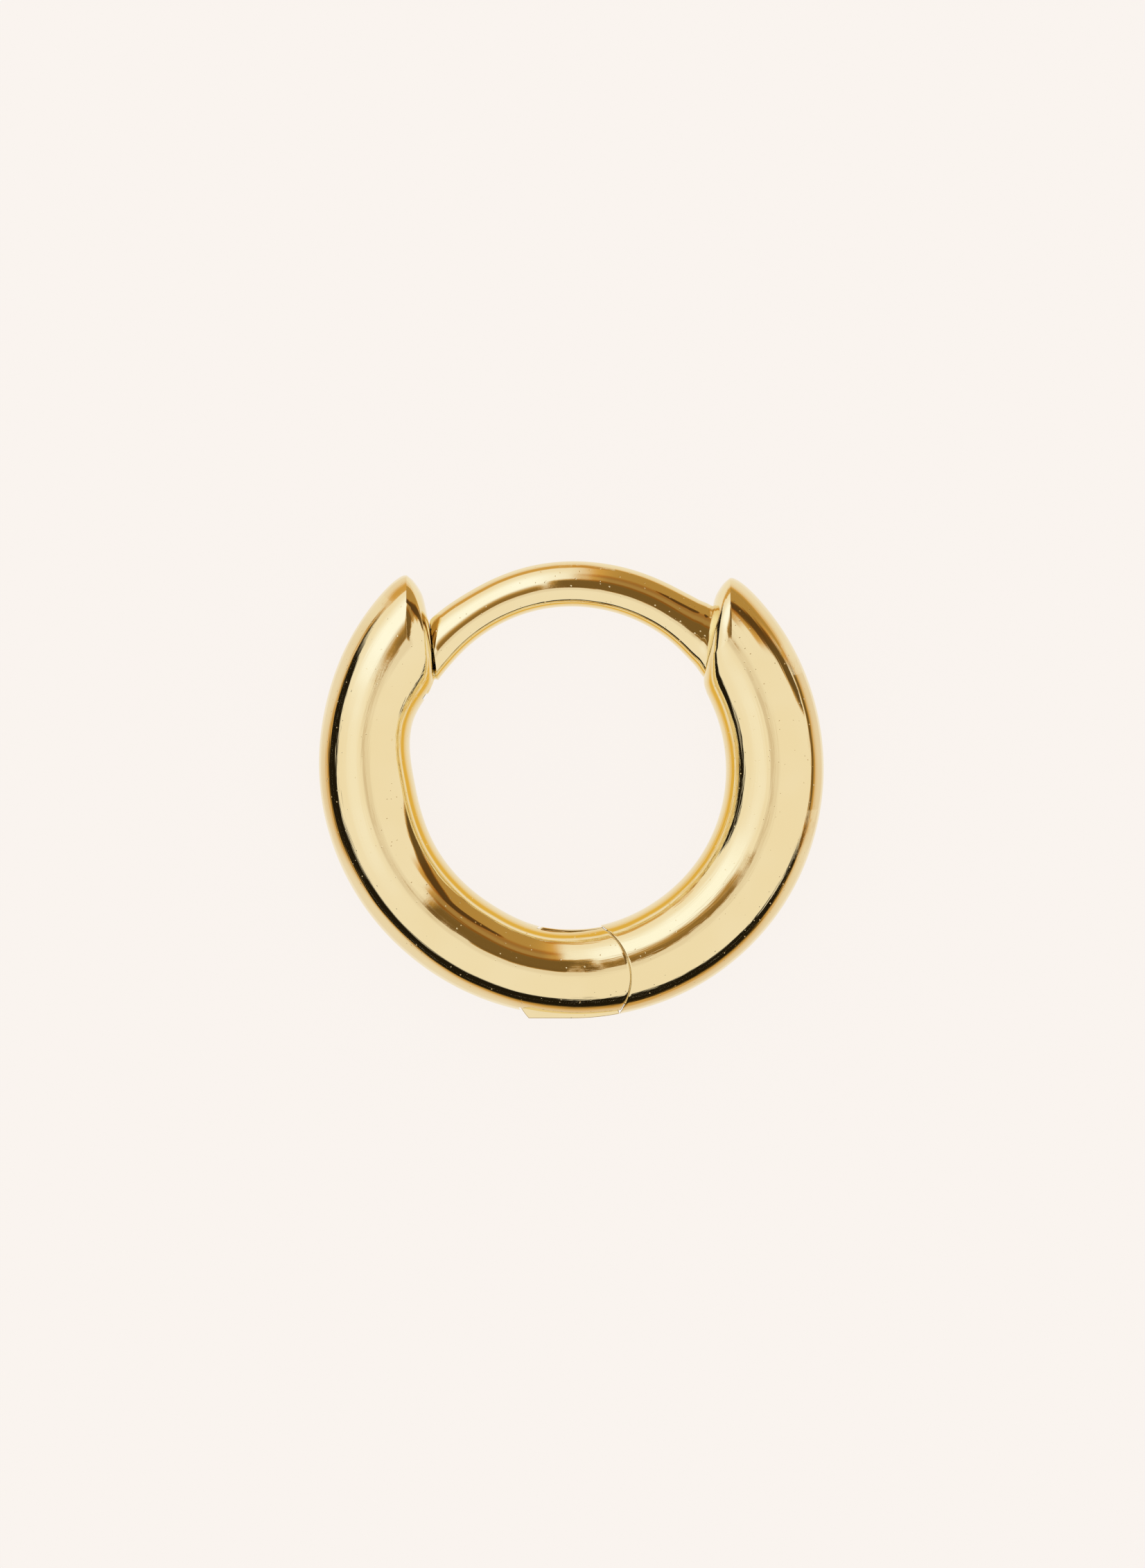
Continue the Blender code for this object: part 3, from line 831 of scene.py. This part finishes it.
# %% Colours of the cloths
BLACK_CLOTH = (0.015, 0.011, 0.006)
BROWN_CLOTH = (0.47, 0.285, 0.085)
UMBER_CLOTH = (0.30, 0.19, 0.075)
DARK_HEM = (0.08, 0.048, 0.018)
WHITE_SCREEN = (1.12, 1.2, 1.42)
AMBER = (0.93, 0.57, 0.17)
# The yellow tints the painted gold bounce: the hoop's own light and shade on the table inside it.
BOUNCE_YELLOW = (1.0, 0.69, 0.13)
print("the white screens are", max(WHITE_SCREEN), "times as bright as white paper, the black cloth", max(BLACK_CLOTH))

# %% [markdown]
# The black wall's top edge and the distance at which the table turns dark both change round the picture, and
# so does the thickness of the line that they draw along the tube.

# %% The wall, and the cloths on the table
WALL_AZIMUTHS = (104, 306)
WALL_HEMS = (12, 10, 3)
WALL_FOOT = 91
WALL_TOP = (  # azimuth, degrees off the camera's axis
    (105, 84.5), (130, 80.5), (150, 77.5), (180, 75.5), (210, 72.5), (240, 71.5), (256, 73.5), (290, 73.5),
    (302, 84.5),
)
EVEN_DISTANCE = ((0, 12.0),)
EDGE_DISTANCES = (  # azimuth, millimetres from the hoop's centre
    (100, 16), (118, 15), (132, 12), (150, 11.3), (170, 10.4), (182, 10.4), (200, 13), (215, 16), (230, 20),
    (242, 15.5), (252, 12.2), (272, 12.5), (290, 16), (312, 19),
)
DARK_COVERS = ((0.55, 0.05), (0.7, 0.1), (0.85, 0.2), (1.0, 0.42), (1.15, 0.9), (1.4, 1), (30, 1))
THIN_COVERS = ((0.58, 0.08), (0.75, 0.1), (1, 0.25), (1.25, 0.7), (1.58, 0.85), (2.17, 0.7), (3, 0.3), (5, 0))
AMBER_COVERS = ((0.58, 0.08), (0.75, 0.16), (1, 0.4), (1.33, 0.5), (25, 0.5))
BROWN_COVERS = ((0.58, 0.04), (0.75, 0.1), (1, 0.3), (1.33, 0.75), (1.8, 0.95), (25, 0.95))
TABLE_CLOTHS = (  # name, cells, azimuths, how thick the weave is, hem, distances, light, tint, tint's reach
    ("dark_table_edge", (96, 48), (100, 312), DARK_COVERS, 10, EDGE_DISTANCES, BLACK_CLOTH, AMBER, 0.3),
    ("thin_table_edge", (40, 40), (60, 112), THIN_COVERS, 8, EVEN_DISTANCE, BLACK_CLOTH, AMBER, 0.3),
    ("amber_table_edge", (60, 40), (306, 372), AMBER_COVERS, 10, EVEN_DISTANCE, BROWN_CLOTH, AMBER, 0.5),
    ("brown_table_edge", (40, 40), (-4, 68), BROWN_COVERS, 12, EVEN_DISTANCE, BROWN_CLOTH, AMBER, 0.5),
)
# How thick the painted gold bounce is, by distance from the hoop's centre: a sheet inside the hoop that stands in for
# the gold light and shade the hoop casts on the table.
BOUNCE_COVERS = ((0.01, 0.28), (0.9, 0.27), (1.8, 0.13), (2.25, 0.08), (3.0, 0.03), (3.6, 0.0))
BOUNCE_DISTANCE = ((0, 1.0),)


def far_wall(u, v):
    azimuth = WALL_AZIMUTHS[0] + (WALL_AZIMUTHS[1] - WALL_AZIMUTHS[0]) * u
    top = read_rows(WALL_TOP, azimuth)[0]
    off = top + (WALL_FOOT - top) * v
    turn = math.radians(azimuth)
    inside = (azimuth - WALL_AZIMUTHS[0], WALL_AZIMUTHS[1] - azimuth, off - top)
    weave = math.prod(fade(distance, hem) for distance, hem in zip(inside, WALL_HEMS))
    return tent_point(off * math.sin(turn), off * math.cos(turn)), weave


screen("far_wall", (80, 12), far_wall, BLACK_CLOTH, CLEAR, 1.0)
for name, cells, azimuths, covers, hem, distances, light, tint, tint_reach in TABLE_CLOTHS:
    screen(name, cells, on_table(azimuths, covers, hem, distances), light, tint, tint_reach)
# A yellow-brown sheet on the table inside the hoop, seen only in reflections: painted gold bounce and painted shade
# from the hoop.
bounce_sheet = on_table((0, 360), BOUNCE_COVERS, 0, BOUNCE_DISTANCE, (BOUNCE_COVERS[0][0], BOUNCE_COVERS[-1][0]))
screen("painted_gold_bounce", (48, 16), bounce_sheet, BROWN_CLOTH, BOUNCE_YELLOW, 0.3)
print("cloths on the table:", len(TABLE_CLOTHS) + 1)

# %% [markdown]
# The cloths on the tent hang in layers, one a little inside the next, so that each shows through the ones
# before it. Brown and umber ones with a dark hem are at the upper right, and the dark ones by the axis are
# the camera's stand.

# %% The cloths on the tent
LAYER_GAP = 5 * MM
TENT_CLOTHS = (  # name, cells, azimuths, degrees off the axis, hems, cover, layer, light, tint, tint's reach
    ("amber_wall", (60, 8), (306, 372), (82, 91), (10, 4, 6, 0), 0.5, 0, BROWN_CLOTH, AMBER, 0.5),
    ("brown_cloth", (40, 30), (-2, 62), (44, 91), (18, 12, 10, 0), 0.96, 0, BROWN_CLOTH, AMBER, 0.5),
    ("umber_cloth", (40, 30), (-2, 52), (30, 64), (14, 8, 6, 16), 0.8, 1, UMBER_CLOTH, AMBER, 0.5),
    ("lens_arm", (40, 24), (-9, 49), (1, 40), (5, 9, 3, 10), 0.86, 3, DARK_HEM, AMBER, 0.5),
    ("lens_shade", (30, 20), (294, 354), (2, 34), (14, 8, 3, 22), 0.74, 4, DARK_HEM, AMBER, 0.6),
    ("lens_side", (24, 10), (230, 310), (0, 10), (20, 20, 0, 5), 0.13, 5, DARK_HEM, AMBER, 0.6),
    ("lens_disc", (32, 8), (0, 360), (0, 14), (0, 0, 0, 9), 0.1, 6, DARK_HEM, AMBER, 0.6),
    ("white_screen", (40, 30), (280, 367), (16, 78), (24, 24, 20, 28), 1.0, 0, WHITE_SCREEN, CLEAR, 1.0),
    ("side_screen", (30, 20), (225, 305), (12, 60), (30, 20, 14, 26), 0.3, 0, WHITE_SCREEN, CLEAR, 1.0),
)
HEM_PATH = (  # x, y and half width, all in degrees
    (24, 54, 2), (31, 50, 5), (38, 42, 7), (50, 41, 9), (64, 39, 11), (77, 32, 12), (90, 26, 8),
)
HEM_LAYER = 2

for name, cells, azimuths, off_axis, hems, cover, layer, light, tint, tint_reach in TENT_CLOTHS:
    cloth = on_tent(azimuths, off_axis, hems, cover, TENT_RADIUS - layer * LAYER_GAP)
    screen(name, cells, cloth, light, tint, tint_reach)
hem = along_path(HEM_PATH, 0.92, TENT_RADIUS - HEM_LAYER * LAYER_GAP)
screen("dark_hem", (60, 14), hem, DARK_HEM, AMBER, 0.4)
print("cloths on the tent:", len(TENT_CLOTHS) + 1)

# %% [markdown]
# ## The picture's colours
#
# The Standard view keeps the cream of the table and the gold as they were set, with no film curve over them.

# %% Picture colours
bpy.context.scene.view_settings.view_transform = "Standard"
print("view:", bpy.context.scene.view_settings.view_transform)
